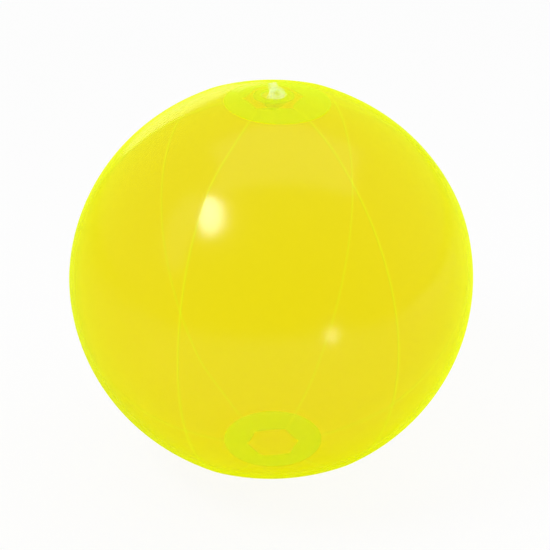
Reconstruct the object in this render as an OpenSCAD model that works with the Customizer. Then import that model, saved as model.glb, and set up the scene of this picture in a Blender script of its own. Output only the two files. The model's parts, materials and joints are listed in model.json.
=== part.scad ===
// Inflated beach ball: six film panels, two closing discs and a soft push-in valve with a stopper.
// The lowest point of the ball is at the origin and the poles lie on the Z axis.

/* [Ball] */
// Diameter across the equator, blown up
ball_d = 280; // [180:5:400]
// How much lower each pole sits than the pole of a true sphere
pole_drop = 1.8; // [0.5:0.1:5]

/* [Film and seams] */
// Thickness of the film of the panels and discs
film_t = 0.25; // [0.2:0.05:0.5]
// Width of the welded fin along each panel edge, turned inwards
fin_w = 1.6; // [1:0.1:6]
// Bond line between layers that lie on each other
bond_gap = 0.1; // [0.08:0.01:0.2]

/* [Discs] */
// Width of the ring where a disc lies on the panel tips, from the tip corners outwards
disc_lap = 16.5; // [8:0.5:22]
// Free ring between the valve flange and the cut ends of the panels
tip_gap = 2.6; // [1:0.1:5]
// How far the hole in the top disc stands back from the edge of the valve cup
disc_hole_step = 0.5; // [0.2:0.1:1.5]

/* [Valve seat] */
// Width of the flange ring that is welded under the top disc
flange_w = 5.5; // [4:0.1:8]
// Thickness of the flange at its outer edge
flange_edge_t = 0.7; // [0.5:0.1:1.2]
// Width of the recess around the stem
recess_w = 3.3; // [2.8:0.1:5]
// Wall thickness of the soft cup
cup_t = 0.6; // [0.4:0.05:1]
// Gap between the cup and the stem, closed by the soft web
stem_gap = 0.15; // [0.1:0.01:0.3]

/* [Valve stem] */
// How far the soft stem leans from upright
lean = 38; // [0:1:40]
// Heading of the lean around the pole, from the X axis
lean_heading = -70; // [-180:5:180]
// How far the soft stem sits off the middle of the cup, along the X axis
stem_offset = 1.4; // [0:0.1:1.5]
// Bore for the pump nozzle
nozzle_d = 5.8; // [4:0.1:7]
// Step from the nozzle bore out to the stopper seat
seat_step = 0.8; // [0.6:0.05:1.2]
// Depth of the stopper seat
seat_depth = 4.6; // [4:0.1:6]
// Wall of the stem beside the stopper seat
stem_wall = 1.3; // [1:0.1:2]
// Length of the stem
stem_len = 12; // [11:0.5:15]
// Height of the mouth above the centre of the cup
mouth_rise = 2; // [1.5:0.1:3.5]

/* [Stopper] */
// Gap between the stopper plug and its seat, at the mouth
plug_gap = 0.12; // [0.1:0.01:0.2]
// How much narrower the plug is at its tip than at the mouth, on the radius
plug_taper = 0.5; // [0.45:0.01:0.7]
// Gap between the tip of the plug and the end of its seat
plug_tip_gap = 0.6; // [0.3:0.1:1]
// Wall of the hollow plug at its tip
plug_wall = 0.9; // [0.7:0.05:1.2]
// Thickness of the floor of the hollow plug
plug_floor = 1; // [0.6:0.1:1.5]
// Thickness of the head
head_t = 2; // [1.6:0.1:2.6]
// How far the head reaches past the stem
head_overhang = 0.3; // [0.1:0.05:0.6]
// Bevel on the rims of the head
head_bevel = 0.4; // [0.2:0.05:0.6]
// Width of the ring groove in the top of the head
groove_w = 1; // [0.6:0.1:1.4]
// Depth of the ring groove
groove_depth = 0.5; // [0.3:0.1:0.8]

/* [Stopper strap] */
// Width of the strap
strap_w = 4.6; // [2.5:0.1:5]
// Thickness of the strap
strap_t = 1.1; // [0.8:0.1:1.3]
// Distance from the mouth down to the middle of the strap root
strap_drop = 3.3; // [2.8:0.1:4]
// Straight length of the strap beside the stem, before it turns back
strap_reach = 1.5; // [0:0.1:4]
// How much taller than the strap the boss is that carries its root, above and below
strap_boss_rim = 0.3; // [0.1:0.05:0.5]
// Depth of the flat on the stopper head where the strap joins it
strap_flat = 0.6; // [0.4:0.05:1]

/* [Check flap] */
// Thickness of the flap
flap_t = 0.5; // [0.3:0.05:0.8]
// How far the flap reaches past the bore on the end of the stem
flap_lap = 1.5; // [1:0.1:1.8]
// Width of the hinge edge of the flap
flap_hinge_w = 4; // [3:0.1:5]

/* [Hidden] */
$fn = 120;

panel_count = 6;
panel_angle = 360 / panel_count;
cut_margin = 1;
meridian_fn = 480;

// The meridian is a side arc and two flatter polar arcs that meet at 45 degrees.
ball_r = ball_d / 2;
arc_shift = pole_drop * (1 + sqrt(1 / 2));
side_r = ball_r - arc_shift;
polar_r = ball_r - pole_drop + arc_shift;
pole_z = ball_r - pole_drop;
far = 2 * ball_d;
centre_z = pole_z + bond_gap + film_t;

nozzle_r = nozzle_d / 2;
seat_r = nozzle_r + seat_step;
stem_r = seat_r + stem_wall;
cup_r = stem_r + recess_w;
flange_r = cup_r + flange_w;
tip_flat_r = flange_r + tip_gap;
tip_corner_r = tip_flat_r / cos(panel_angle / 2);
disc_r = tip_corner_r + disc_lap;
disc_hole_r = cup_r + disc_hole_step;

// The flat underside of the flange is the level of the cup's centre.
cup_z = sqrt(pow(polar_r, 2) - pow(flange_r, 2)) - arc_shift - flange_edge_t;
stem_end = mouth_rise - stem_len;

plug_r = seat_r - plug_gap;
plug_tip_r = plug_r - plug_taper;
plug_len = seat_depth - plug_tip_gap;
plug_hollow_r = plug_tip_r - plug_wall;
head_r = stem_r + head_overhang;
head_flat = head_r - strap_flat;
groove_r = (plug_hollow_r + head_r) / 2;

strap_low = mouth_rise - strap_drop;
strap_high = mouth_rise + head_t - head_bevel - strap_t / 2;
loop_r = (strap_high - strap_low) / 2;
loop_z = (strap_high + strap_low) / 2;
boss_x = -head_r;
loop_x = boss_x - strap_reach;

flap_r = nozzle_r + flap_lap;

film_colour = [0.86, 0.86, 0.05];
disc_colour = [0.75, 0.88, 0.05];
valve_colour = [0.9, 0.92, 0.86];

// Right half of the meridian outline, moved inwards by inset
module meridian(inset) {
  intersection() {
    translate([0, -arc_shift])
      circle(polar_r - inset, $fn = meridian_fn);
    polygon([[0, -arc_shift], [far, far - arc_shift], [0, far]]);
  }
  intersection() {
    translate([0, arc_shift])
      circle(polar_r - inset, $fn = meridian_fn);
    polygon([[0, arc_shift], [0, -far], [far, arc_shift - far]]);
  }
  intersection() {
    translate([arc_shift, 0])
      circle(side_r - inset, $fn = meridian_fn);
    polygon([[arc_shift, 0], [far, arc_shift - far], [far, far - arc_shift]]);
  }
}

// Solid ball without its core, with its surface moved inwards by inset, turned through the given angle
module ball_body(inset, core_r, turn) {
  rotate_extrude(angle = turn)
    intersection() {
      meridian(inset);
      translate([core_r, -ball_d])
        square([ball_d, 2 * ball_d]);
    }
}

// Wedge between two planes that stand one film thickness inside the seams of a panel
module between_fins() {
  rotate([0, 0, panel_angle / 2])
    translate([film_t / sin(panel_angle / 2), 0, 0])
      rotate([0, 0, -panel_angle / 2])
        linear_extrude(2 * ball_d, center = true)
          polygon([[0, 0], [far, 0], [far * cos(panel_angle), far * sin(panel_angle)]]);
}

// One panel: a shell between two seams with both tips cut straight, and an inward fin along each seam
module panel(index) {
  core_r = tip_flat_r - cut_margin;
  translate([0, 0, centre_z])
    rotate([0, 0, index * panel_angle])
      difference() {
        ball_body(0, core_r, panel_angle);
        ball_body(film_t + fin_w, core_r - cut_margin, 360);
        intersection() {
          ball_body(film_t, core_r - cut_margin, 360);
          between_fins();
        }
        cylinder(h = 2 * ball_d, r = tip_corner_r, center = true, $fn = panel_count);
      }
}

// Cap of film that lies on the panel tips around the upper pole, outside hole_r
module disc_cap(hole_r) {
  rotate_extrude()
    intersection() {
      difference() {
        meridian(-bond_gap - film_t);
        meridian(-bond_gap);
      }
      translate([hole_r, 0])
        square([disc_r - hole_r, ball_d]);
    }
}

// Frame of the valve: origin on the stem's axis at the level of the cup's centre,
// Z out through the mouth, strap on the -X side
module valve_frame() {
  translate([stem_offset, 0, centre_z + cup_z])
    rotate([0, lean, lean_heading])
      children();
}

module panel_1() {
  color(film_colour)
    panel(0);
}

module panel_2() {
  color(film_colour)
    panel(1);
}

module panel_3() {
  color(film_colour)
    panel(2);
}

module panel_4() {
  color(film_colour)
    panel(3);
}

module panel_5() {
  color(film_colour)
    panel(4);
}

module panel_6() {
  color(film_colour)
    panel(5);
}

module top_disc() {
  color(disc_colour)
    translate([0, 0, centre_z])
      disc_cap(disc_hole_r);
}

module bottom_disc() {
  color(disc_colour)
    translate([0, 0, centre_z])
      mirror([0, 0, 1])
        disc_cap(0);
}

// Ring with a flat underside and a top that follows the disc
module valve_flange() {
  color(valve_colour)
    translate([0, 0, centre_z])
      rotate_extrude()
        intersection() {
          meridian(0);
          translate([cup_r, cup_z])
            square([flange_w, ball_d]);
        }
}

// Round bowl that hangs from the flange and holds the stem in its floor
module valve_cup() {
  color(valve_colour)
    difference() {
      translate([0, 0, centre_z + cup_z])
        rotate_extrude()
          intersection() {
            difference() {
              circle(cup_r + cup_t);
              circle(cup_r);
            }
            translate([0, -2 * cup_r])
              square(2 * cup_r);
          }
      valve_frame()
        translate([0, 0, -2 * cup_r])
          cylinder(h = 2 * cup_r, r = stem_r + stem_gap);
    }
}

// Tube with a nozzle bore, a wider stopper seat at the mouth and a flat boss for the strap
module valve_stem() {
  boss_h = strap_t + 2 * strap_boss_rim;
  color(valve_colour)
    valve_frame()
      difference() {
        union() {
          translate([0, 0, stem_end])
            cylinder(h = stem_len, r = stem_r);
          translate([boss_x, -strap_w / 2, strap_low - boss_h / 2])
            cube([head_r, strap_w, boss_h]);
        }
        translate([0, 0, stem_end - cut_margin])
          cylinder(h = stem_len, r = nozzle_r);
        translate([0, 0, mouth_rise - seat_depth])
          cylinder(h = seat_depth + cut_margin, r = seat_r);
      }
}

// Hollow tapered plug under a round head that has a ring groove, and a flat where the strap joins it
module stopper() {
  color(valve_colour)
    valve_frame()
      translate([0, 0, mouth_rise])
        difference() {
          rotate_extrude()
            polygon([
              [0, -plug_len],
              [plug_tip_r, -plug_len],
              [plug_r, 0],
              [head_r - head_bevel, 0],
              [head_r, head_bevel],
              [head_r, head_t - head_bevel],
              [head_r - head_bevel, head_t],
              [0, head_t],
            ]);
          translate([0, 0, plug_floor - plug_len])
            cylinder(h = plug_len + head_t, r = plug_hollow_r);
          rotate_extrude()
            translate([groove_r - groove_w / 2, head_t - groove_depth])
              square([groove_w, 2 * groove_depth]);
          translate([-2 * head_r, 0, 0])
            cube([2 * (2 * head_r - head_flat), 4 * head_r, 4 * head_t], center = true);
        }
}

// Strap that runs out from the boss on the stem, turns in a half-round loop and comes back to the
// flat on the stopper head
module stopper_strap() {
  color(valve_colour)
    valve_frame()
      translate([0, strap_w / 2, 0])
        rotate([90, 0, 0])
          linear_extrude(strap_w) {
            translate([loop_x, loop_z])
              difference() {
                circle(loop_r + strap_t / 2);
                circle(loop_r - strap_t / 2);
                translate([0, -2 * loop_r])
                  square(4 * loop_r);
              }
            translate([loop_x, strap_high - strap_t / 2])
              square([strap_reach + strap_flat, strap_t]);
            translate([loop_x, strap_low - strap_t / 2])
              square([strap_reach, strap_t]);
          }
}

// Thin disc that closes the inner end of the bore, with a straight hinge edge on the -X side
module check_flap() {
  color(valve_colour)
    valve_frame()
      translate([0, 0, stem_end - flap_t])
        linear_extrude(flap_t) {
          circle(flap_r);
          translate([-flap_r, -flap_hinge_w / 2])
            square([flap_r, flap_hinge_w]);
        }
}

panel_1();
panel_2();
panel_3();
panel_4();
panel_5();
panel_6();
top_disc();
bottom_disc();
valve_flange();
valve_cup();
valve_stem();
stopper();
stopper_strap();
check_flap();
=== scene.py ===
# %% [markdown]
# # A see-through beach ball
# The ball is blown up from six pointed panels of soft lemon film. The panels are welded along their
# long edges, a round disc closes each end, and a clear valve sits in the top disc.
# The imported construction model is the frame: it gives every size and place, in metres, and this
# lesson adds the looks around it.

# %% Load the frame
import json
import math

import bmesh
import bpy
from mathutils import Matrix, Vector, noise


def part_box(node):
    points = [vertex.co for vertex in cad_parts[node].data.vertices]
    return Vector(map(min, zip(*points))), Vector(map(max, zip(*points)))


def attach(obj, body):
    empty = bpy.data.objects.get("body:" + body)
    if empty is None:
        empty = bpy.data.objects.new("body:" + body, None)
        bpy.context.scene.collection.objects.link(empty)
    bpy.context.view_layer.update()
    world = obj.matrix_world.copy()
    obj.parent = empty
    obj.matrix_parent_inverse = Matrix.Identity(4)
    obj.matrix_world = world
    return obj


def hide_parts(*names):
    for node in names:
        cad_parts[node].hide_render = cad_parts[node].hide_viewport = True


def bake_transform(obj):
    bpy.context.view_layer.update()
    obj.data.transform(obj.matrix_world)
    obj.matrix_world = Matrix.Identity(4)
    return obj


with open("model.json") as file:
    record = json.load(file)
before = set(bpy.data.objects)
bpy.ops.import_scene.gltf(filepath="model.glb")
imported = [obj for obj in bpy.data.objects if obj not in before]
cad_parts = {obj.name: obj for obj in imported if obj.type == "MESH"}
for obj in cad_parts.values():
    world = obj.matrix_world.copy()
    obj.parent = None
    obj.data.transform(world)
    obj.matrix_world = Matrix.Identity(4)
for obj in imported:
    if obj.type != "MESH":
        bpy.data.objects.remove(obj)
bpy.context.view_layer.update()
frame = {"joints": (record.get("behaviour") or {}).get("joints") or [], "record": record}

# %% [markdown]
# ## Sizes of the film body
# The blown-up ball isn't a true sphere: welded discs hold both ends a little flatter. Its outline is
# a side arc with a flatter arc at each end, and the arcs meet at 45 degrees, where they share a
# tangent. The radii follow from two sizes that can be read off the frame, the widest radius and the
# height of the ends. Film and weld are too thin to read safely, so they are named here.

# %% Read the sizes off the frame
MM = 0.001
FILM = 0.25 * MM
BOND = 0.1 * MM
PANELS = 6
PANEL_ANGLE = math.tau / PANELS

panel_low, panel_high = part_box("panel_2")  # this panel looks along +Y
disc_low, disc_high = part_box("bottom_disc")
ball_r = panel_high.y
tip_flat = panel_low.y
disc_r = disc_high.x
centre = Vector((0, 0, (panel_low.z + panel_high.z) / 2))
pole_r = centre.z - disc_low.z - FILM - BOND
arc_shift = (ball_r - pole_r) * (1 + math.sqrt(0.5))
polar_r = pole_r + arc_shift
print(f"ball radius {ball_r / MM:.1f} mm, end height {pole_r / MM:.1f} mm")
print(f"disc radius {disc_r / MM:.1f} mm")

# %% [markdown]
# ## Shader arithmetic
# Most finishes below mix a few numbers, such as how steeply the film is seen. Node by node that is
# long to write, so one small class wraps a socket. Arithmetic on it adds Math nodes, and `node` adds
# any other kind: its settings first, because they can change the sockets, then values or links.

# %% A socket that does arithmetic
class Wire:
    def __init__(self, tree, socket=None):
        self.tree = tree
        self.socket = socket

    def node(self, kind, settings=None, inputs=None, output=0):
        made = self.tree.nodes.new(kind)
        for name, value in (settings or {}).items():
            setattr(made, name, value)
        for name, value in (inputs or {}).items():
            if isinstance(value, Wire):
                self.tree.links.new(value.socket, made.inputs[name])
            else:
                made.inputs[name].default_value = value
        return Wire(self.tree, made.outputs[output] if made.outputs else None)

    def math(self, operation, first, second):
        return self.node("ShaderNodeMath", {"operation": operation}, {0: first, 1: second})

    def __add__(self, other):
        return self.math("ADD", self, other)

    __radd__ = __add__

    def __sub__(self, other):
        return self.math("SUBTRACT", self, other)

    def __rsub__(self, other):
        return self.math("SUBTRACT", other, self)

    def __mul__(self, other):
        return self.math("MULTIPLY", self, other)

    __rmul__ = __mul__

    def __pow__(self, other):
        return self.math("POWER", self, other)


def new_material(name):
    material = bpy.data.materials.new(name)
    material.use_nodes = True
    material.node_tree.nodes.clear()
    return material, Wire(material.node_tree)


def show(graph, shader):
    graph.node("ShaderNodeOutputMaterial", inputs={"Surface": shader})


def cloud(graph, scale, detail=2.0):
    """Soft noise on the piece's own coordinates; scale is in waves per metre."""
    place = graph.node("ShaderNodeTexCoord", output="Object")
    return graph.node("ShaderNodeTexNoise", inputs={"Vector": place, "Scale": scale, "Detail": detail})


print("sockets can now be added, subtracted, multiplied and raised to a power")

# %% [markdown]
# ## Lemon film
# Soft see-through film does three things at once. It tints what is behind it, it scatters a little
# light inside itself as a lime glow, and its skin mirrors the lamps. A Transparent shader gives the
# tint, a diffuse and a translucent one the glow, and a glossy one the skin.
# Glow and gloss both rise where the film is seen on edge. Layer Weight gives that, because the
# Fresnel node would treat the inner face of a thin shell as the inside of solid glass.
# The welder presses the film thin along a seam, which shows as a fine lime line. Each panel stores
# how near its seams are, and each disc how near its rim is, as an attribute. It counts down from
# `NEAR`, so that a piece without the attribute reads as far from any seam.
# Only the outer face is glossy, and only from outside: light from inside has passed the film before.

# %% Film and weld finishes
NEAR = 10 * MM
SEAM_LINE = 1.4 * MM
FAR_LINE = 0.75  # strength of a seam that is seen through the ball
GLOW_RISE, SKIN_RISE = 4, 5  # how steeply glow and gloss rise towards a limb
SMEAR_SCALE, DENT_SCALE = 38.0, 16.0  # waves per metre
DENT_STRENGTH, DENT_DEPTH = 0.06, 2 * MM
SKIN_ROUGH, SMEAR_ROUGH = 0.15, 0.05
SMEAR_LEAST, SMEAR_RANGE = 0.8, 0.4  # the share of glow where smears are weakest, and what they add


def film_finish(
    name, tint, glow, share, through=0.3, edge_share=0.0, seam_tint=None, skin=0.0, edge_skin=0.0
):
    """Film that shows `share` of glow, of which `through` comes from light on the other side.

    `skin` is the share of gloss. `edge_share` and `edge_skin` are added where the film is seen on edge,
    and `seam_tint` is the tint of the line along a seam.
    """
    material, graph = new_material(name)
    facing = graph.node("ShaderNodeLayerWeight", inputs={"Blend": 0.5}, output="Facing")
    inside = graph.node("ShaderNodeNewGeometry", output="Backfacing")
    smears = cloud(graph, SMEAR_SCALE, detail=3.0)
    clear = graph.node("ShaderNodeBsdfTransparent", inputs={"Color": (*tint, 1)})
    if seam_tint:
        near_seam = graph.node("ShaderNodeAttribute", {"attribute_name": "near_seam"}, output="Fac")
        line = graph.math("MAXIMUM", 1 - (NEAR - near_seam) * (1 / SEAM_LINE), 0.0)
        pressed = graph.node("ShaderNodeBsdfTransparent", inputs={"Color": (*seam_tint, 1)})
        line *= 1 - (1 - FAR_LINE) * inside
        clear = graph.node("ShaderNodeMixShader", inputs={0: line, 1: clear, 2: pressed})
    near = graph.node("ShaderNodeBsdfDiffuse", inputs={"Color": (*glow, 1)})
    far = graph.node("ShaderNodeBsdfTranslucent", inputs={"Color": (*glow, 1)})
    glowing = graph.node("ShaderNodeMixShader", inputs={0: through, 1: near, 2: far})
    glow_part = share * (SMEAR_LEAST + SMEAR_RANGE * smears) + edge_share * facing ** GLOW_RISE
    body = graph.node("ShaderNodeMixShader", inputs={0: glow_part, 1: clear, 2: glowing})
    height = cloud(graph, DENT_SCALE)
    dents = graph.node(
        "ShaderNodeBump", inputs={"Strength": DENT_STRENGTH, "Distance": DENT_DEPTH, "Height": height}
    )
    rough = SKIN_ROUGH + SMEAR_ROUGH * smears
    gloss = graph.node("ShaderNodeBsdfGlossy", inputs={"Roughness": rough, "Normal": dents})
    mirrored = (skin + edge_skin * facing ** SKIN_RISE) * (1 - inside)
    show(graph, graph.node("ShaderNodeMixShader", inputs={0: mirrored, 1: body, 2: gloss}))
    return material


LEMON, PRESSED = (0.965, 0.917, 0.2), (0.965, 1.0, 0.15)
WELDED, MARGIN = (0.98, 1.0, 0.3), (0.995, 1.0, 0.97)
LIME, WELD_LIME = (0.8, 1.0, 0.0), (0.64, 1.0, 0.0)
SOFT_GLOW = {"glow": LIME, "share": 0.03, "edge_share": 0.65}
film = film_finish("lemon film", LEMON, **SOFT_GLOW, seam_tint=PRESSED, skin=0.025, edge_skin=0.05)
inner = film_finish("lemon film inside", LEMON, **SOFT_GLOW)
weld = film_finish("welded film", WELDED, WELD_LIME, share=0.25, through=0.1, edge_share=0.1)
margin = film_finish("seam margin film", MARGIN, LIME, share=0.01)
FILM_FINISHES = (film, inner, weld, margin)
print("film finishes:", *(finish.name for finish in FILM_FINISHES), sep="\n  ")

# %% [markdown]
# ## Clear valve plastic
# The valve is moulded from colourless soft plastic, so it looks milky with bright edges. A milky body
# that lets most of the light straight through reads right at this size, and costs less to render than
# true refraction in six nested pieces. The flange's milk is lime, which is painted light: it stands in
# for the film's glow that the clear flange picks up.

# %% Valve finish
FLOW_SCALE = 420.0  # waves per metre
FLOW_LEAST, FLOW_RANGE = 0.7, 0.6  # the share of milk where it flowed thin, and what flow adds
MILK_ROUGH, FLOW_ROUGH, MILK_RISE = 0.16, 0.16, 2
VALVE_CLEAR = (0.98, 1.0, 0.96, 1)
SOFT_PVC_IOR = 1.53


def valve_finish(name, milk, milk_share, edge_share):
    """Clear plastic with a share of milk in its body, and more of it where it is seen on edge."""
    material, graph = new_material(name)
    facing = graph.node("ShaderNodeLayerWeight", inputs={"Blend": 0.5}, output="Facing")
    flow = cloud(graph, FLOW_SCALE, detail=3.0)
    rough = MILK_ROUGH + FLOW_ROUGH * flow
    body = graph.node(
        "ShaderNodeBsdfPrincipled",
        inputs={"Base Color": (*milk, 1), "Roughness": rough, "IOR": SOFT_PVC_IOR},
    )
    clear = graph.node("ShaderNodeBsdfTransparent", inputs={"Color": VALVE_CLEAR})
    share = milk_share * (FLOW_LEAST + FLOW_RANGE * flow) + edge_share * facing ** MILK_RISE
    show(graph, graph.node("ShaderNodeMixShader", inputs={0: share, 1: clear, 2: body}))
    return material


# The flange's lime milk colour is painted light: it stands in for the film's lime glow that the clear
# flange picks up
MILK, FLANGE_MILK_AND_PAINTED_GLOW, THIN_MILK = (0.88, 0.93, 0.66), (0.6, 0.95, 0.1), (0.8, 0.95, 0.4)
valve_plastic = valve_finish("clear valve plastic", MILK, milk_share=0.11, edge_share=0.42)
flange_plastic_painted_glow = valve_finish("flange plastic with painted film glow", FLANGE_MILK_AND_PAINTED_GLOW, milk_share=0.16, edge_share=0.4)
thin_plastic = valve_finish("thin valve plastic", THIN_MILK, milk_share=0.04, edge_share=0.16)
print("valve finishes:", valve_plastic.name, flange_plastic_painted_glow.name, thin_plastic.name, sep="\n  ")

# %% [markdown]
# ## From bmesh to a piece
# Most shapes below are spun or cut by a plane, which a few short functions wrap.
# Every piece ends the same way: turns sharper than a crease limit stay sharp, the rest is shaded
# smooth, the mesh becomes an object at the origin, and the piece takes the place of its construction
# node. A rigid piece rides on one body. A soft one that crosses a joint rides on none.

# %% Spin, cut and finish a piece
CREASE = math.radians(38)
UP = (0, 0, 1)
ORIGIN = (0, 0, 0)


def spin(bm, geom, about, axis, angle, steps, merge=False):
    """Spins geometry about an axis and gives back the last step."""
    swept = bmesh.ops.spin(
        bm, geom=geom, cent=about, axis=axis, angle=angle, steps=steps, use_merge=merge
    )
    return swept["geom_last"]


def full_turn(bm, steps):
    """Spins a whole outline once round the Z axis."""
    spin(bm, bm.verts[:] + bm.edges[:], ORIGIN, UP, math.tau, steps, merge=True)


def whole(bm):
    """Everything in a bmesh, for an operator that takes geometry."""
    return bm.verts[:] + bm.edges[:] + bm.faces[:]


def cut_away(bm, geom, point, normal):
    """Cuts along a plane and removes what lies on the side that its normal points to."""
    bmesh.ops.bisect_plane(bm, geom=geom, plane_co=point, plane_no=normal, clear_outer=True)


def make_piece(node, finish, bm, materials, body=None):
    """Makes a bmesh the object that stands for a construction node, and lets it ride on a body."""
    name = f"{node}.{finish}"
    for face in bm.faces:
        face.smooth = True
    for edge in bm.edges:
        edge.smooth = edge.calc_face_angle(0) < CREASE
    mesh = bpy.data.meshes.new(name)
    bm.to_mesh(mesh)
    bm.free()
    for material in materials:
        mesh.materials.append(material)
    piece = bpy.data.objects.new(name, mesh)
    bpy.context.scene.collection.objects.link(piece)
    if body:
        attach(piece, body)
    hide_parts(node)
    print(f"{name}: {len(mesh.vertices)} vertices, {len(mesh.polygons)} faces")
    return piece


print(f"turns sharper than {math.degrees(CREASE):.0f} degrees stay sharp")

# %% [markdown]
# ## A panel
# A panel is a flat pointed sheet that air pressure bends into a sixth of the ball. One vertex spun
# along the outline's arcs gives a meridian, and the meridian spun through a sixth of a turn gives the
# sheet, with shorter steps near the seams, where the detail is. A plane then cuts each tip straight.
# A cloth simulation could blow the ball up, but the shape it ends in is this one.

# %% Sheet of one panel
TIP_SPARE = 1.5 * MM
SEAM_ZONE = math.radians(8)
TIP_STEPS, POLAR_STEPS, SIDE_STEPS = 8, 28, 84
SEAM_STEPS, MIDDLE_STEPS = 14, 28


def panel_sheet(top_trim):
    """The sheet between azimuth 0 and a sixth of a turn, with its top tip cut shorter by `top_trim`."""
    bm = bmesh.new()
    tip_angle = math.asin((tip_flat - TIP_SPARE) / polar_r)
    disc_angle = math.asin(disc_r / polar_r)
    upper, lower = Vector((0, 0, -arc_shift)), Vector((0, 0, arc_shift))
    side = Vector((arc_shift, 0, 0))
    start = upper + polar_r * Vector((math.sin(tip_angle), 0, math.cos(tip_angle)))
    end = [bm.verts.new(start)]
    for about, angle, steps in (
        (upper, disc_angle - tip_angle, TIP_STEPS),
        (upper, math.pi / 4 - disc_angle, POLAR_STEPS),
        (side, math.pi / 2, SIDE_STEPS),
        (lower, math.pi / 4 - disc_angle, POLAR_STEPS),
        (lower, disc_angle - tip_angle, TIP_STEPS),
    ):
        end = spin(bm, end, about, (0, 1, 0), angle, steps)
    meridian = bm.verts[:] + bm.edges[:]
    for angle, steps in (
        (SEAM_ZONE, SEAM_STEPS),
        (PANEL_ANGLE - 2 * SEAM_ZONE, MIDDLE_STEPS),
        (SEAM_ZONE, SEAM_STEPS),
    ):
        meridian = spin(bm, meridian, ORIGIN, UP, angle, steps)
    outwards = Vector((math.cos(PANEL_ANGLE / 2), math.sin(PANEL_ANGLE / 2), 0))
    for pole, trim in ((1, top_trim), (-1, 0)):
        near_tip = {vert for vert in bm.verts if vert.co.z * pole > ball_r / 2}
        parts = [vert for vert in bm.verts if vert in near_tip]
        for item in bm.edges[:] + bm.faces[:]:
            if all(vert in near_tip for vert in item.verts):
                parts.append(item)
        cut_away(bm, parts, outwards * (tip_flat + trim), -outwards)
    bm.normal_update()
    if sum(face.normal.dot(face.calc_center_median()) for face in bm.faces) < 0:
        bmesh.ops.reverse_faces(bm, faces=bm.faces[:])
    return bm


print("steps along a panel:", 2 * (TIP_STEPS + POLAR_STEPS) + SIDE_STEPS)
print("steps across a panel:", 2 * SEAM_STEPS + MIDDLE_STEPS)

# %% [markdown]
# ## Shape near the seams
# Flat sheets can't bend into a true ball, so each panel is a little flatter than the sphere and the
# seams stand out as soft ridges. The film beside a seam also gathers into fine ripples. All of it
# fades out under the end discs, which are welded flat.
# The moves are small and follow a formula, so the vertices are moved in code. The ripples come from
# noise along the seam's own number, so the two panels that share a seam ripple together.

# %% Move the film near the seams
FLATTER = 1.2 * MM
GROOVE, GROOVE_W = 0.05 * MM, 1.6 * MM
RIPPLE, RIPPLE_W, RIPPLE_STEP = 0.12 * MM, 11 * MM, 9 * MM
RIPPLE_SEED = (7.3, 0)  # step between seams, and layer of the noise
DISC_EASE = 16 * MM


def ease(share):
    share = min(max(share, 0), 1)
    return share * share * (3 - 2 * share)


def seam_side(point):
    """0 for the panel's first seam and 1 for its second, and the distance to that seam's plane."""
    azimuth = math.atan2(point.y, point.x)
    side = int(azimuth > PANEL_ANGLE / 2)
    return side, math.hypot(point.x, point.y) * math.sin(abs(azimuth - side * PANEL_ANGLE))


def seam_noise(point, seam, step, seed):
    """Noise along a seam, the same for both panels that share it."""
    along = ball_r * math.acos(point.normalized().z)
    between, layer = seed
    return noise.noise((along / step, between * (seam % PANELS), layer))


def shape_film(bm, index):
    for vert in bm.verts:
        point = vert.co
        side, away = seam_side(point)
        rho = math.hypot(point.x, point.y)
        clear_of_disc = ease((rho - disc_r) / DISC_EASE) if abs(point.z) > ball_r / 2 else 1
        wave = seam_noise(point, index + side, RIPPLE_STEP, RIPPLE_SEED)
        from_middle = math.atan2(point.y, point.x) / (PANEL_ANGLE / 2) - 1
        depth = FLATTER * (1 - from_middle ** 2) * rho / ball_r
        depth += GROOVE * math.exp(-((away / GROOVE_W) ** 2))
        depth += RIPPLE * wave * math.exp(-away / RIPPLE_W)
        vert.co -= point.normalized() * depth * clear_of_disc


print(f"the film moves by up to {(FLATTER + GROOVE + RIPPLE) / MM:.2f} mm")

# %% [markdown]
# ## Fins inside the seams
# The panels are welded inside out and then turned, so each seam leaves two narrow margins of film
# that stand into the ball, face to face. Here the panel's side edges are extruded inwards twice, and
# the free edge gets a slow wave. The margins are nearly clear, because they are only seen on edge.

# %% Add the fins
FIN = 1.6 * MM
FIN_ROWS = 2
FIN_WAVE, FIN_WAVE_STEP = 0.2 * MM, 22 * MM
FIN_SEED = (3.1, 9)
FUSED = 0.01 * MM  # how far each margin sinks into its partner, so that no light slips between them
TOUCHING = 0.001 * MM  # points nearer than this count as one


def add_fins(bm, index):
    rim = [
        edge
        for edge in bm.edges
        if edge.is_boundary and all(seam_side(vert.co)[1] < TOUCHING for vert in edge.verts)
    ]
    across = (Vector((0, 1, 0)), Vector((math.sin(PANEL_ANGLE), -math.cos(PANEL_ANGLE), 0)))
    for vert in {vert for edge in rim for vert in edge.verts}:
        vert.co -= across[seam_side(vert.co)[0]] * FUSED
    for row in range(FIN_ROWS):
        grown = bmesh.ops.extrude_edge_only(bm, edges=rim)["geom"]
        rim = [item for item in grown if isinstance(item, bmesh.types.BMEdge) and item.is_boundary]
        rim = [edge for edge in rim if all(vert in grown for vert in edge.verts)]
        for vert in (item for item in grown if isinstance(item, bmesh.types.BMVert)):
            side = seam_side(vert.co)[0]
            wave = seam_noise(vert.co, index + side, FIN_WAVE_STEP, FIN_SEED)
            vert.co -= vert.co.normalized() * FIN / FIN_ROWS
            vert.co += across[side] * (1 - 2 * side) * FIN_WAVE * wave * row
        for face in (item for item in grown if isinstance(item, bmesh.types.BMFace)):
            face.material_index = FILM_FINISHES.index(margin)


print(f"fins of {FIN / MM:.1f} mm in {FIN_ROWS} rows")

# %% [markdown]
# ## Made by hand
# The panels are fed into the welder by hand, so on the real ball no seam runs quite straight from
# pole to pole, both discs sit a few millimetres off the middle, and the top tips towards the viewer
# are cut shorter than the others. One function turns each point about the ball's axis by the wander
# of the seams beside it. Another turns the ends of the ball about a level axis, and leaves the middle
# of the top alone, where the valve is.

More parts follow.
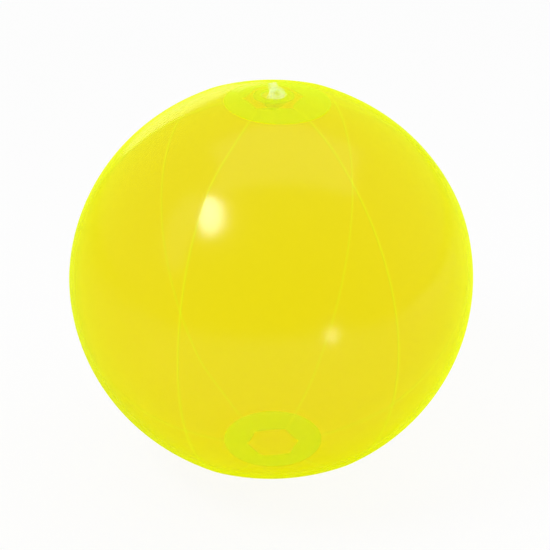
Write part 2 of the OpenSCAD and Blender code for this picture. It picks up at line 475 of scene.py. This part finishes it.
# %% Wander of the seams and slip of the ends
SEAM_WANDER = ((0, 0), (-1.3, -1.6), (3.6, 3.6), (0, 0), (-2.8, 0), (0.3, 2.1))  # mm, top and bottom
WANDER_Z = 120 * MM
TOP_TRIM = (0, 0, 0, 3.3, 3.0, 0.8)  # mm, one for each panel
TOP_SLIP, BOTTOM_SLIP = Vector((2.4, -2.4, 0)) * MM, Vector((2.7, 3.5, 0)) * MM
SLIP_Z, SLIP_EASE, VALVE_KEEP = 105 * MM, 24 * MM, 12 * MM
TINY = 1e-12  # keeps an axis from being zero where nothing slips


def wander(point):
    place = math.atan2(point.y, point.x) % math.tau / PANEL_ANGLE
    seam = int(place)
    lift = ease(point.z / WANDER_Z)
    shifts = []
    for top, bottom in (SEAM_WANDER[seam % PANELS], SEAM_WANDER[(seam + 1) % PANELS]):
        shifts.append((bottom + (top - bottom) * lift) * MM)
    shift = shifts[0] + (shifts[1] - shifts[0]) * (place - seam)
    return Matrix.Rotation(shift / math.hypot(point.x, point.y), 3, "Z") @ point


def slip(point):
    rho = math.hypot(point.x, point.y)
    top = ease((point.z - SLIP_Z) / SLIP_EASE) * ease((rho - VALVE_KEEP) / (disc_r - VALVE_KEEP))
    bottom = ease((-point.z - SLIP_Z) / SLIP_EASE)
    move = TOP_SLIP * top - BOTTOM_SLIP * bottom
    return Matrix.Rotation(move.length / ball_r, 3, Vector((-move.y, move.x, TINY))) @ point


print(f"the ends slip by {TOP_SLIP.length / MM:.1f} and {BOTTOM_SLIP.length / MM:.1f} mm")

# %% [markdown]
# ## The six panels
# Now the steps come together. The film gets its thickness, and the faces that look inwards get the
# finish without gloss. Each point stores how near its seam is before the panel turns to its place.

# %% Build the panels
def finish_inside(bm):
    for face in bm.faces:
        looks_inwards = face.normal.dot(face.calc_center_median()) < 0
        if looks_inwards and face.material_index == FILM_FINISHES.index(film):
            face.material_index = FILM_FINISHES.index(inner)


def mark_seams(bm):
    near_seam = bm.verts.layers.float.new("near_seam")
    for vert in bm.verts:
        vert[near_seam] = NEAR - seam_side(vert.co)[1]


def build_panel(index):
    bm = panel_sheet(TOP_TRIM[index] * MM)
    shape_film(bm, index)
    for face in bm.faces:
        middle = face.calc_center_median()
        if math.hypot(middle.x, middle.y) < disc_r:
            face.material_index = FILM_FINISHES.index(weld)
    add_fins(bm, index)
    bmesh.ops.recalc_face_normals(bm, faces=bm.faces[:])
    bmesh.ops.solidify(bm, geom=bm.faces[:], thickness=FILM)
    finish_inside(bm)
    mark_seams(bm)
    turn = Matrix.Rotation(index * PANEL_ANGLE, 3, "Z")
    for vert in bm.verts:
        vert.co = centre + slip(wander(turn @ vert.co))
    return make_piece(f"panel_{index + 1}", "film", bm, FILM_FINISHES, "ball")


for index in range(PANELS):
    build_panel(index)

# %% [markdown]
# ## End discs
# A round patch of film covers the six tips at each end, welded down along a ring near its rim. The
# same polar arc, spun once to a line and then all the way round, gives the cap, and a shallow groove
# pressed into it shows the weld. The lower disc is the upper one turned over, without the hole.

# %% Make the discs
CAP_STEPS, DISC_STEPS = 40, 128
WELD_IN, WELD_OUT, WELD_PRESS = 8 * MM, 2 * MM, 0.07 * MM
RIM_FADE = 0.9 * MM  # makes the line at a disc's rim fainter than a seam
HOLE_R = 8.8 * MM


def build_disc(node, hole, upside_down):
    bm = bmesh.new()
    about = Vector((0, 0, -arc_shift))
    cap_r = polar_r + BOND + FILM
    first = math.asin(hole / cap_r)
    rim = math.asin(disc_r / cap_r)
    start = about + cap_r * Vector((math.sin(first), 0, math.cos(first)))
    spin(bm, [bm.verts.new(start)], about, (0, 1, 0), rim - first, CAP_STEPS)
    full_turn(bm, DISC_STEPS)
    bmesh.ops.remove_doubles(bm, verts=bm.verts[:], dist=TOUCHING)
    bmesh.ops.recalc_face_normals(bm, faces=bm.faces[:])
    if bm.faces[0].normal.z < 0:
        bmesh.ops.reverse_faces(bm, faces=bm.faces[:])
    bmesh.ops.solidify(bm, geom=bm.faces[:], thickness=FILM)
    for vert in bm.verts:
        from_rim = disc_r - math.hypot(vert.co.x, vert.co.y)
        if WELD_OUT < from_rim < WELD_IN:
            vert.co.z -= WELD_PRESS
    bm.normal_update()
    finish_inside(bm)
    near_rim = bm.verts.layers.float.new("near_seam")
    turn = Matrix.Rotation(math.pi if upside_down else 0, 3, "X")
    for vert in bm.verts:
        vert[near_rim] = NEAR - RIM_FADE - disc_r + math.hypot(vert.co.x, vert.co.y)
        vert.co = centre + slip(turn @ vert.co)
    return make_piece(node, "film", bm, FILM_FINISHES, "ball")


build_disc("top_disc", HOLE_R, False)
build_disc("bottom_disc", 0, True)

# %% [markdown]
# ## Frame of the valve
# The stem leans in its cup, so its pieces are easier to make upright and then tilted as one. The
# record of the frame holds the axis of the bore and of the flap's hinge, which give the tilt. The
# cup hangs from the underside of the flange, and the stem's root is where the bore's axis crosses
# that level, a little off the middle.

# %% Find the tilt
bore = next(mount for mount in frame["record"]["mounts"] if mount["name"] == "nozzle_bore")
flap_hinge = next(joint for joint in frame["joints"] if joint["name"] == "flap_hinge")
valve_z = Vector(bore["axis"]).normalized()
valve_y = Vector(flap_hinge["axis"]).normalized()
valve_x = valve_y.cross(valve_z)
bore_at = Vector(bore["pos_m"])
cup_centre = Vector((0, 0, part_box("valve_flange")[0].z))
stem_root = bore_at + valve_z * ((cup_centre.z - bore_at.z) / valve_z.z)
valve_tilt = Matrix((valve_x, valve_y, valve_z)).transposed().to_4x4()
valve_place = Matrix.Translation(stem_root) @ valve_tilt
print("stem root (mm):", [round(c / MM, 2) for c in stem_root])

# %% [markdown]
# ## Turned valve pieces
# Flange, stem, stopper and flap are round mouldings, so each starts as a closed outline of a few
# points that is spun all the way round, with its corners bevelled first. Spinning the outline as an
# edge loop leaves no caps to clean up, only the one edge that lies on the axis of a piece without a
# bore.

# %% Turn a bevelled outline
TURN_STEPS = 72
CORNER, FINE_CORNER = 0.2, 0.15  # mm


def turned(outline, corner):
    """A solid of revolution about Z from (radius, height) corners, given in mm."""
    bm = bmesh.new()
    verts = [bm.verts.new((radius * MM, 0, height * MM)) for radius, height in outline]
    for first, second in zip(verts, verts[1:] + verts[:1]):
        bm.edges.new((first, second))
    bmesh.ops.bevel(
        bm,
        geom=[vert for vert in verts if vert.co.x > 0],
        offset=corner * MM,
        offset_type="OFFSET",
        segments=4,
        profile=0.5,
        affect="VERTICES",
        material=-1,
    )
    full_turn(bm, TURN_STEPS)
    bmesh.ops.remove_doubles(bm, verts=bm.verts[:], dist=TOUCHING)
    bmesh.ops.delete(bm, geom=[edge for edge in bm.edges if edge.is_wire], context="EDGES")
    bmesh.ops.recalc_face_normals(bm, faces=bm.faces[:])
    return bm


def lean(bm):
    """Tilts an upright valve piece into its place."""
    bmesh.ops.transform(bm, matrix=valve_place, verts=bm.verts[:])
    return bm


print(f"turned pieces have {TURN_STEPS} sides")

# %% [markdown]
# The flange is a flat ring whose top follows the disc it is welded to. The ring is spun level, since
# only the stem leans.

# %% Flange
CUP_R, FLANGE_R = 8.3, 13.8  # mm, as are the valve's other sizes


def polar_height(radius):
    """Height in mm of the polar arc above the cup's centre, at a radius in mm."""
    arc = math.sqrt((polar_r / MM) ** 2 - radius ** 2) - arc_shift / MM
    return arc - (cup_centre.z - centre.z) / MM


bm = turned(
    (
        (CUP_R, 0),
        (FLANGE_R, 0),
        (FLANGE_R, polar_height(FLANGE_R)),
        (CUP_R, polar_height(CUP_R)),
    ),
    FINE_CORNER,
)
bmesh.ops.translate(bm, vec=cup_centre, verts=bm.verts[:])
make_piece("valve_flange", "moulding", bm, (flange_plastic_painted_glow,), "ball")

# %% [markdown]
# The cup is a soft bowl under the flange. It is spun about the stem's direction from the stem's wall
# up, the flange's level cuts its rim, and its floor is then drawn over to the stem. When the stem is
# pulled out the floor turns inside out and follows it, but here the bowl rides on no body. The floor
# is drawn over in the narrow zone between the rim's lowest point, measured along the stem, and the
# inner edge of the floor, so neither of them tears.

# %% Cup
CUP_T, STEM_R, STEM_GAP = 0.6, 5.0, 0.15
CUP_SWEEP, CUP_STEPS = math.radians(110), 96  # the sweep ends well above the rim


def build_cup():
    bm = bmesh.new()
    bowl_r = (CUP_R + CUP_T) * MM
    floor_angle = math.asin((STEM_R + STEM_GAP) * MM / bowl_r)
    first = bowl_r * Vector((math.sin(floor_angle), 0, -math.cos(floor_angle)))
    spin(bm, [bm.verts.new(first)], ORIGIN, (0, -1, 0), CUP_SWEEP, CUP_STEPS)
    full_turn(bm, TURN_STEPS)
    place = Matrix.Translation(cup_centre - stem_root) @ valve_place
    bmesh.ops.transform(bm, matrix=place, verts=bm.verts[:])
    cut_away(bm, whole(bm), cup_centre, UP)
    rim_angle = math.asin(valve_z.z)
    for vert in bm.verts:
        angle = (cup_centre - vert.co).angle(valve_z)
        vert.co += (stem_root - cup_centre) * ease((rim_angle - angle) / (rim_angle - floor_angle))
    bmesh.ops.recalc_face_normals(bm, faces=bm.faces[:])
    if sum(face.normal.dot(face.calc_center_median() - cup_centre) for face in bm.faces) < 0:
        bmesh.ops.reverse_faces(bm, faces=bm.faces[:])
    bmesh.ops.solidify(bm, geom=bm.faces[:], thickness=CUP_T * MM)
    cup = make_piece("valve_cup", "moulding", bm, (thin_plastic,))
    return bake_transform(cup)


build_cup()

# %% [markdown]
# The stem is a short tube. Its bore takes a pump nozzle, and a wider seat at the mouth takes the
# stopper. A flat boss on its side holds the strap: a grown, bevelled cube that reaches into the wall.

# %% Stem
NOZZLE_R, SEAT_R, SEAT_DEPTH = 2.9, 3.7, 4.6
MOUTH, STEM_LEN = 2.0, 12.0
STRAP_W, STRAP_T, BOSS_RIM, BOSS_ROOT = 4.6, 1.1, 0.3, 1.0
STRAP_LOW, STRAP_HIGH, STRAP_REACH = -1.3, 3.05, 1.5
HEAD_R, HEAD_FLAT, HEAD_T = 5.3, 4.7, 2.0


def block(low, high, corner):
    """A bevelled box between two corners in mm."""
    bm = bmesh.new()
    low, high = Vector(low) * MM, Vector(high) * MM
    place = Matrix.Translation((low + high) / 2) @ Matrix.Diagonal((*(high - low), 1))
    bmesh.ops.create_cube(bm, size=1, matrix=place)
    bmesh.ops.bevel(
        bm, geom=bm.edges[:], offset=corner * MM, segments=3, profile=0.5, affect="EDGES", material=-1
    )
    return bm


def add_to(bm, other):
    """Puts the mesh of a second bmesh into the first."""
    carrier = bpy.data.meshes.new("carrier")
    other.to_mesh(carrier)
    other.free()
    bm.from_mesh(carrier)
    bpy.data.meshes.remove(carrier)


stem = turned(
    (
        (NOZZLE_R, MOUTH - STEM_LEN),
        (STEM_R, MOUTH - STEM_LEN),
        (STEM_R, MOUTH),
        (SEAT_R, MOUTH),
        (SEAT_R, MOUTH - SEAT_DEPTH),
        (NOZZLE_R, MOUTH - SEAT_DEPTH),
    ),
    CORNER,
)
boss_half = STRAP_T / 2 + BOSS_RIM
boss_low = (-HEAD_R, -STRAP_W / 2, STRAP_LOW - boss_half)
boss_high = (BOSS_ROOT - STEM_R, STRAP_W / 2, STRAP_LOW + boss_half)
add_to(stem, block(boss_low, boss_high, FINE_CORNER))
make_piece("valve_stem", "moulding", lean(stem), (valve_plastic,), "stem")

# %% [markdown]
# The stopper has a hollow tapered plug under a round head. The head has a ring groove on top and a
# flat on one side, which a plane cuts, for the strap.

# %% Stopper
PLUG_R, PLUG_TIP_R, PLUG_LEN, PLUG_HOLLOW_R, PLUG_FLOOR = 3.58, 3.08, 4.0, 2.18, 1.0
HEAD_TOP = MOUTH + HEAD_T
RING_OUT_R, RING_IN_R, RING_DEPTH = 4.24, 3.24, 0.5


def cut_flat(bm, x):
    """Cuts off what lies below x, in mm, and closes the cut."""
    cut_away(bm, whole(bm), (x * MM, 0, 0), (-1, 0, 0))
    bmesh.ops.holes_fill(bm, edges=[edge for edge in bm.edges if edge.is_boundary], sides=0)
    bmesh.ops.recalc_face_normals(bm, faces=bm.faces[:])


stopper = turned(
    (
        (0, MOUTH - PLUG_LEN),
        (PLUG_TIP_R, MOUTH - PLUG_LEN),
        (PLUG_R, MOUTH),
        (HEAD_R, MOUTH),
        (HEAD_R, HEAD_TOP),
        (RING_OUT_R, HEAD_TOP),
        (RING_OUT_R, HEAD_TOP - RING_DEPTH),
        (RING_IN_R, HEAD_TOP - RING_DEPTH),
        (RING_IN_R, HEAD_TOP),
        (PLUG_HOLLOW_R, HEAD_TOP),
        (PLUG_HOLLOW_R, MOUTH - PLUG_LEN + PLUG_FLOOR),
        (0, MOUTH - PLUG_LEN + PLUG_FLOOR),
    ),
    CORNER,
)
cut_flat(stopper, -HEAD_FLAT)
make_piece("stopper", "moulding", lean(stopper), (valve_plastic,), "plug")

# %% [markdown]
# The strap runs out from the head, turns in a half-round loop and comes back to the boss. The edges
# of a small rectangle are extruded, spun half a turn and extruded again, and both ends are closed.
# Extruding edges instead of a face leaves no walls inside, which would show through clear plastic.
# The loop bends as the stopper swings, so the strap rides on no body here.

# %% Strap
OUT_STEPS, LOOP_STEPS, BACK_STEPS = 6, 24, 4
SUNK = 0.05  # how far each end of the strap reaches into its partner
SHARP = 1.0  # radians


def push(bm, loop, distance, steps):
    """Extrudes a loop of edges along X by a distance in mm, and gives back the last loop."""
    for _ in range(steps):
        grown = bmesh.ops.extrude_edge_only(bm, edges=loop)["geom"]
        moved = [item for item in grown if isinstance(item, bmesh.types.BMVert)]
        bmesh.ops.translate(bm, vec=(distance * MM / steps, 0, 0), verts=moved)
        loop = [item for item in grown if isinstance(item, bmesh.types.BMEdge)]
        loop = [edge for edge in loop if all(vert in moved for vert in edge.verts)]
    return loop


def build_strap():
    bm = bmesh.new()
    loop_x = -HEAD_R - STRAP_REACH
    loop_z = (STRAP_HIGH + STRAP_LOW) / 2
    bmesh.ops.create_grid(
        bm,
        x_segments=1,
        y_segments=1,
        size=0.5,
        matrix=Matrix.Translation(Vector((SUNK - HEAD_FLAT, 0, STRAP_HIGH)) * MM)
        @ Matrix.Rotation(math.pi / 2, 4, "Y")
        @ Matrix.Diagonal((STRAP_T * MM, STRAP_W * MM, 1, 1)),
    )
    bmesh.ops.delete(bm, geom=bm.faces[:], context="FACES_ONLY")
    out = push(bm, bm.edges[:], loop_x + HEAD_FLAT - SUNK, OUT_STEPS)
    turned_over = spin(bm, out, Vector((loop_x, 0, loop_z)) * MM, (0, -1, 0), math.pi, LOOP_STEPS)
    last = [item for item in turned_over if isinstance(item, bmesh.types.BMEdge)]
    push(bm, last, STRAP_REACH + SUNK, BACK_STEPS)
    bmesh.ops.holes_fill(bm, edges=[edge for edge in bm.edges if edge.is_boundary], sides=0)
    bmesh.ops.recalc_face_normals(bm, faces=bm.faces[:])
    sharp = [edge for edge in bm.edges if edge.calc_face_angle(0) > SHARP]
    bmesh.ops.bevel(
        bm, geom=sharp, offset=FINE_CORNER * MM, segments=2, profile=0.5, affect="EDGES", material=-1
    )
    strap = make_piece("stopper_strap", "moulding", lean(bm), (valve_plastic,))
    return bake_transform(strap)


build_strap()

# %% [markdown]
# The check flap is a thin disc that air pressure holds against the inner end of the tube. Its rim
# tapers, which leaves it room to swing when the cup is turned out. A square tab on it is the soft
# hinge.

# %% Check flap
FLAP_R, FLAP_T, FLAP_RIM_T, FLAP_TAPER = 4.4, 0.5, 0.2, 0.6
FLAP_TAB_W, FLAP_TAB = 4.0, 1.2
FLAP_CORNER, TAB_CORNER = 0.08, 0.1
flap_top = MOUTH - STEM_LEN
flap = turned(
    (
        (0, flap_top - FLAP_T),
        (FLAP_R - FLAP_TAPER, flap_top - FLAP_T),
        (FLAP_R, flap_top - FLAP_RIM_T),
        (FLAP_R, flap_top),
        (0, flap_top),
    ),
    FLAP_CORNER,
)
tab_low = (-FLAP_R, -FLAP_TAB_W / 2, flap_top - FLAP_T)
tab_high = (FLAP_TAB - FLAP_R, FLAP_TAB_W / 2, flap_top)
add_to(flap, block(tab_low, tab_high, TAB_CORNER))
make_piece("check_flap", "moulding", lean(flap), (thin_plastic,), "flap")

# %% [markdown]
# ## Floor, lamps and camera
# The photograph shows the ball on plain white. The floor is pale and takes the ball's shadow. To the
# camera it is mostly plain white, so the shadow stays faint.
# The room is white behind the ball and dimmer in front of it, as in a studio with one backdrop, so
# the film mirrors white at its limbs and stays a clear yellow in the middle. The camera sees white
# all round, so that the ball can be looked at from any side.

# %% Floor and surroundings
WHITE = (1, 1, 1, 1)
FLOOR_W = 12.0
FLOOR_WHITE = 0.9
FLOOR_PAINT = (0.62, 0.62, 0.62, 1)
FRONT_LIGHT = 0.35


def build_floor():
    bm = bmesh.new()
    bmesh.ops.create_grid(bm, x_segments=1, y_segments=1, size=FLOOR_W / 2)
    mesh = bpy.data.meshes.new("floor")
    bm.to_mesh(mesh)
    bm.free()
    floor = bpy.data.objects.new("floor", mesh)
    bpy.context.scene.collection.objects.link(floor)
    material, graph = new_material("pale floor")
    path = graph.node("ShaderNodeLightPath", output="Is Camera Ray")
    paint = graph.node("ShaderNodeBsdfDiffuse", inputs={"Color": FLOOR_PAINT})
    white = graph.node("ShaderNodeEmission", inputs={"Color": WHITE, "Strength": 1.0})
    show(graph, graph.node("ShaderNodeMixShader", inputs={0: path * FLOOR_WHITE, 1: paint, 2: white}))
    mesh.materials.append(material)


def build_world():
    world = bpy.data.worlds.new("studio")
    world.use_nodes = True
    world.node_tree.nodes.clear()
    graph = Wire(world.node_tree)
    camera_ray = graph.node("ShaderNodeLightPath", output="Is Camera Ray")
    direction = graph.node("ShaderNodeTexCoord", output="Generated")
    backwards = graph.node("ShaderNodeSeparateXYZ", inputs={"Vector": direction}, output="Y")
    room = FRONT_LIGHT + (1 - FRONT_LIGHT) * (0.5 + 0.5 * backwards)
    level = graph.math("MAXIMUM", camera_ray, room)
    light = graph.node("ShaderNodeBackground", inputs={"Color": WHITE, "Strength": level})
    graph.node("ShaderNodeOutputWorld", inputs={"Surface": light})
    bpy.context.scene.world = world


build_floor()
build_world()
print(f"floor {FLOOR_W:.0f} m wide, front of the room at {FRONT_LIGHT} of white")

# %% [markdown]
# A tall soft box to the left and above gives the long highlight, which the ridge of the left seam
# cuts off. A broad one overhead lights the top, one further left shows in the panel there, and one
# behind the ball gives the upper left limb a pale sheen. A small low lamp gives the second glint. The
# two fill lamps only even out the light, so the film doesn't mirror them.

# %% Lamps
WATTS_PER_LEVEL = 4  # Blender spreads an area lamp's watts over four times its area


def soft_box(name, shape, direction, upright, distance, width, height, level, mirrored=True):
    """An area lamp that looks at the ball from a direction, with its height along `upright`.

    Sizes are in metres. The level is about its radiance, where 1 is white.
    """
    lamp = bpy.data.lights.new(name, "AREA")
    lamp.shape = shape
    lamp.size, lamp.size_y = width, height
    lamp.energy = level * width * height * WATTS_PER_LEVEL
    holder = bpy.data.objects.new(name, lamp)
    back = Vector(direction).normalized()
    across = Vector(upright).cross(back).normalized()
    turn = Matrix((across, back.cross(across), back)).transposed().to_4x4()
    holder.matrix_world = Matrix.Translation(centre + back * distance) @ turn
    holder.visible_camera = False
    holder.visible_glossy = mirrored
    bpy.context.scene.collection.objects.link(holder)
    print(f"{name}: {lamp.energy:.1f} W at", [round(c, 2) for c in holder.matrix_world.translation])


soft_box("key lamp", "ELLIPSE", (-0.51, -0.306, 0.804), (-0.03, 0.92, 0.4), 1.5, 0.35, 0.57, 13.0)
soft_box("top lamp", "RECTANGLE", (0.124, 0.188, 0.969), (0, 1, 0), 1.8, 2.2, 1.3, 0.75)
soft_box("left lamp", "ELLIPSE", (-0.79, -0.2, 0.58), (0.33, 0.65, 0.69), 1.6, 0.45, 1.1, 0.5)
soft_box("back lamp", "ELLIPSE", (-0.2, 0.97, 0.11), UP, 1.7, 0.95, 0.65, 1.8)
soft_box("low lamp", "ELLIPSE", (0.4, -0.915, -0.045), UP, 0.8, 0.07, 0.1, 7.0)
soft_box("right fill", "RECTANGLE", (0.9, 0.1, 0.25), UP, 1.6, 1.2, 0.8, 3.6, mirrored=False)
soft_box("front fill", "RECTANGLE", (0.1, -0.98, 0.15), UP, 1.7, 1.8, 0.4, 3.2, mirrored=False)

# %% [markdown]
# The camera stands where the photograph was taken from: about 28 degrees above the ball's middle,
# far enough for little perspective. A ray crosses many layers of film in ball and valve, so Cycles
# has to follow it through more of them than it does by default.

# %% Camera
AZIMUTH, ELEVATION, ROLL = math.radians(-5.1), math.radians(28), math.radians(0.7)
DISTANCE = 1.285
SENSOR, LENS = 36.0, 121.0  # mm
SHIFT_X, SHIFT_Y = 0.0062, 0.0076
FILM_LAYERS = 48


def build_camera():
    lens = bpy.data.cameras.new("camera")
    lens.sensor_width = SENSOR
    lens.lens = LENS
    lens.shift_x, lens.shift_y = SHIFT_X, SHIFT_Y
    camera = bpy.data.objects.new("camera", lens)
    level = math.cos(ELEVATION)
    back = Vector((math.sin(AZIMUTH) * level, -math.cos(AZIMUTH) * level, math.sin(ELEVATION)))
    turn = back.to_track_quat("Z", "Y").to_matrix().to_4x4() @ Matrix.Rotation(ROLL, 4, "Z")
    camera.matrix_world = Matrix.Translation(centre + back * DISTANCE) @ turn
    bpy.context.scene.collection.objects.link(camera)
    bpy.context.scene.camera = camera


build_camera()
scene = bpy.context.scene
scene.view_settings.view_transform = "Standard"
scene.cycles.transparent_max_bounces = FILM_LAYERS
print("camera at", [round(c, 3) for c in scene.camera.matrix_world.translation])
